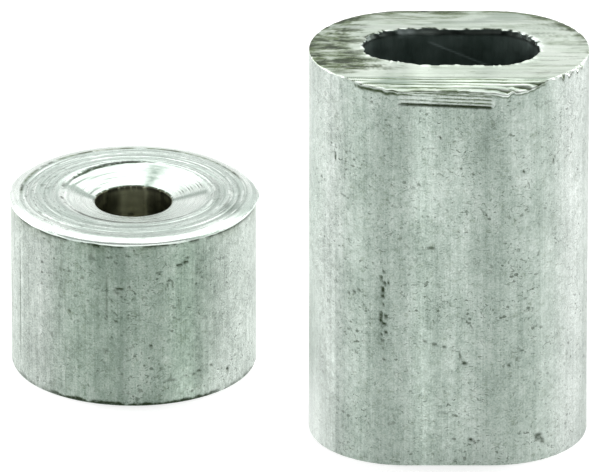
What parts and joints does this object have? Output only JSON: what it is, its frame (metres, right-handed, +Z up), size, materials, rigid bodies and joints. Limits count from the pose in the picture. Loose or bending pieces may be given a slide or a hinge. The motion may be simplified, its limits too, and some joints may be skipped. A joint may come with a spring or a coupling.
{
  "type": "wire rope ferrule and stop set",
  "caption": "Oval crimp ferrule with a slot for a doubled wire rope, and a round bored stop with a countersunk end, loose pieces standing side by side.",
  "frame": {"origin": "on the surface the pieces stand on, midway along and across the bounding box of the pair", "axes": "+Z up along the slot and the bore, +X from the stop towards the ferrule, -Y towards the ferrule's torn front edge"},
  "size_m": [0.0262, 0.0178, 0.0186],
  "materials": {
    "ferrule_aluminium": "dull extruded skin with sawn ends",
    "stop_aluminium": "dull drawn skin with a bright turned end"
  },
  "bodies": {
    "ferrule": {"oval_ferrule": "ferrule_aluminium"},
    "stop": {"cable_stop": "stop_aluminium"}
  },
  "joints": [
    {"name": "stop_lift", "type": "slide", "parent": "ferrule", "child": "stop", "axis": [0, 0, 1], "range_m": [0, 0.03]}
  ]
}
